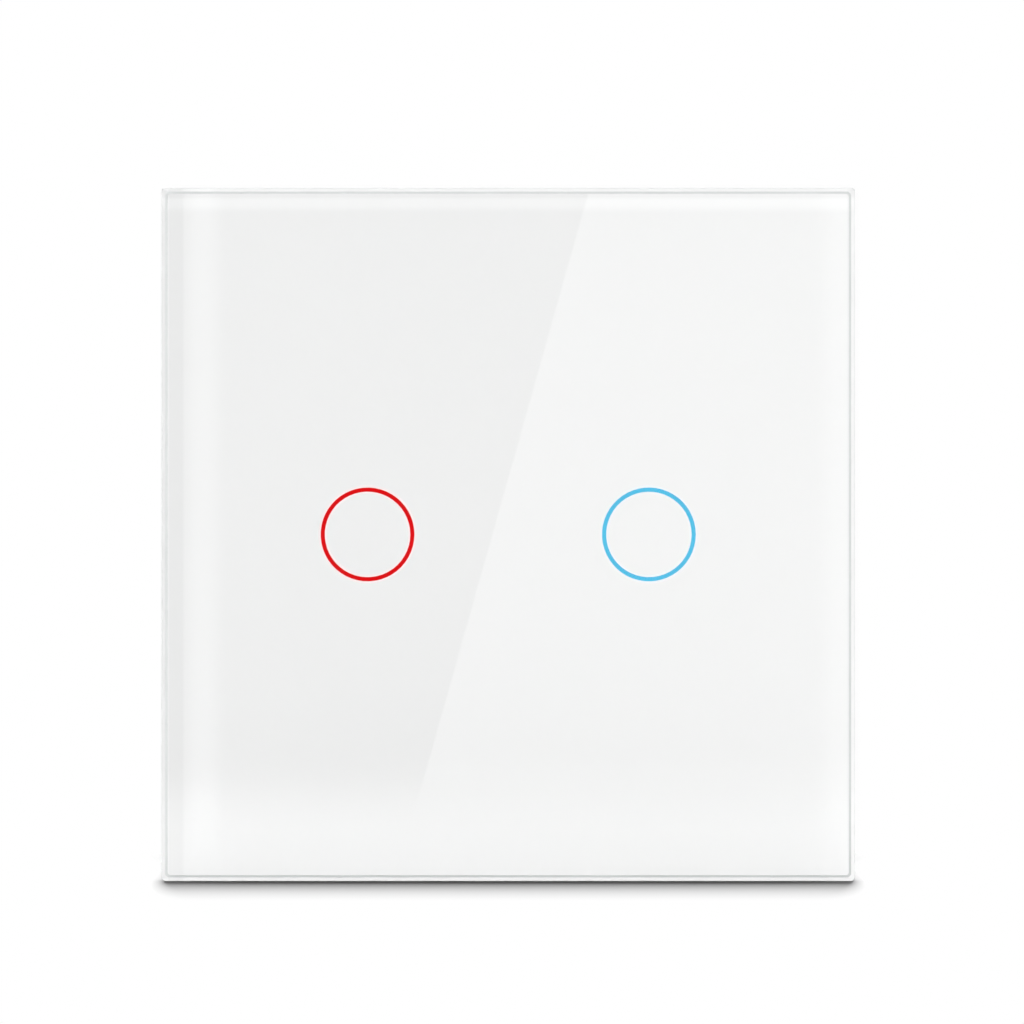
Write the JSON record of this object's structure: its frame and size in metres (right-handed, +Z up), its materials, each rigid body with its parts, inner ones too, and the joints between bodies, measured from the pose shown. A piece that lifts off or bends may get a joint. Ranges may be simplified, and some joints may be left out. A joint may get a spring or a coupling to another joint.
{
  "type": "touch light switch",
  "caption": "Square wall-mounted touch light switch: a glass panel with ring marks lit from behind snaps onto a relay module with screw terminals, held by a steel bracket.",
  "frame": {"origin": "middle of the wall-box screw line, on the wall plane at the back of the steel bracket", "axes": "+X to the right seen from the front, +Y into the wall, +Z up; the glass faces -Y"},
  "size_m": [0.086, 0.0385, 0.086],
  "materials": {
    "clear_glass": "polished",
    "white_ink": "gloss",
    "foam_tape": "matt",
    "white_abs": "fine satin",
    "cover_abs": "fine satin",
    "red_light_guide": "milky, lit red",
    "blue_light_guide": "milky, lit blue",
    "led_package": "gloss",
    "plated_spring": "plated",
    "circuit_board": "solder mask",
    "black_epoxy": "matt",
    "black_connector": "satin",
    "galvanised_steel": "galvanised",
    "housing_plastic": "fine spark texture",
    "zinc_screw": "bright zinc",
    "terminal_plastic": "satin",
    "brass": "bright",
    "plated_clamp": "nickel plated",
    "relay_plastic": "gloss",
    "soft_iron": "plated",
    "copper_winding": "enamelled wire",
    "capacitor_sleeve": "gloss",
    "film_box": "gloss",
    "varistor_coat": "gloss",
    "fuse_body": "matt"
  },
  "bodies": {
    "module": {"sensor_cover": "cover_abs", "left_light_guide": "red_light_guide", "right_light_guide": "blue_light_guide", "left_leds": "led_package", "right_leds": "led_package", "touch_springs": "plated_spring", "touch_board": "circuit_board", "touch_chip": "black_epoxy", "board_header": "black_connector", "board_socket": "black_connector", "mounting_bracket": "galvanised_steel", "rear_housing": "housing_plastic", "housing_screws": "zinc_screw", "power_board": "circuit_board", "terminal_block": "terminal_plastic", "terminal_bars": "brass", "electrolytic_capacitor": "capacitor_sleeve", "film_capacitor": "film_box", "varistor": "varistor_coat", "choke": "black_epoxy", "fuse": "fuse_body", "rectifier": "black_epoxy", "left_relay_case": "relay_plastic", "left_relay_base": "black_connector", "left_relay_magnet": "soft_iron", "left_relay_coil": "copper_winding", "left_relay_contact": "brass", "right_relay_case": "relay_plastic", "right_relay_base": "black_connector", "right_relay_magnet": "soft_iron", "right_relay_coil": "copper_winding", "right_relay_contact": "brass"},
    "panel": {"glass_panel": "clear_glass", "panel_print": "white_ink", "panel_tape": "foam_tape", "panel_frame": "white_abs", "snap_hooks": "white_abs"},
    "terminal_screw_1": {"terminal_screw_1": "zinc_screw"},
    "terminal_clamp_1": {"terminal_clamp_1": "plated_clamp"},
    "terminal_screw_2": {"terminal_screw_2": "zinc_screw"},
    "terminal_clamp_2": {"terminal_clamp_2": "plated_clamp"},
    "terminal_screw_3": {"terminal_screw_3": "zinc_screw"},
    "terminal_clamp_3": {"terminal_clamp_3": "plated_clamp"},
    "left_armature": {"left_relay_armature": "soft_iron"},
    "right_armature": {"right_relay_armature": "soft_iron"}
  },
  "joints": [
    {"name": "panel_pull", "type": "slide", "parent": "module", "child": "panel", "axis": [0, -1, 0], "range_m": [0, 0.02], "deforming": ["snap_hooks"]},
    {"name": "terminal_screw_1_turn", "type": "hinge", "parent": "module", "child": "terminal_screw_1", "pos_m": [-0.0086, 0.0195, -0.0166], "axis": [0, -1, 0], "range_deg": [0, 2900]},
    {"name": "terminal_clamp_1_rise", "type": "slide", "parent": "module", "child": "terminal_clamp_1", "axis": [0, 1, 0], "range_m": [0, 0.004]},
    {"name": "terminal_screw_2_turn", "type": "hinge", "parent": "module", "child": "terminal_screw_2", "pos_m": [0, 0.0195, -0.0166], "axis": [0, -1, 0], "range_deg": [0, 2900]},
    {"name": "terminal_clamp_2_rise", "type": "slide", "parent": "module", "child": "terminal_clamp_2", "axis": [0, 1, 0], "range_m": [0, 0.004]},
    {"name": "terminal_screw_3_turn", "type": "hinge", "parent": "module", "child": "terminal_screw_3", "pos_m": [0.0086, 0.0195, -0.0166], "axis": [0, -1, 0], "range_deg": [0, 2900]},
    {"name": "terminal_clamp_3_rise", "type": "slide", "parent": "module", "child": "terminal_clamp_3", "axis": [0, 1, 0], "range_m": [0, 0.004]},
    {"name": "left_armature_pull", "type": "hinge", "parent": "module", "child": "left_armature", "pos_m": [-0.0115, 0.0198, -0.0013], "axis": [1, 0, 0], "range_deg": [0, 5.5], "stiffness_Nm_per_rad": 0.02, "springref_deg": -5.73},
    {"name": "right_armature_pull", "type": "hinge", "parent": "module", "child": "right_armature", "pos_m": [0.0115, 0.0198, -0.0013], "axis": [1, 0, 0], "range_deg": [0, 5.5], "stiffness_Nm_per_rad": 0.02, "springref_deg": -5.73}
  ],
  "couplings": [
    {"joint": "terminal_screw_1_turn", "follows": "terminal_clamp_1_rise", "rad_per_m": 12566},
    {"joint": "terminal_screw_2_turn", "follows": "terminal_clamp_2_rise", "rad_per_m": 12566},
    {"joint": "terminal_screw_3_turn", "follows": "terminal_clamp_3_rise", "rad_per_m": 12566}
  ]
}
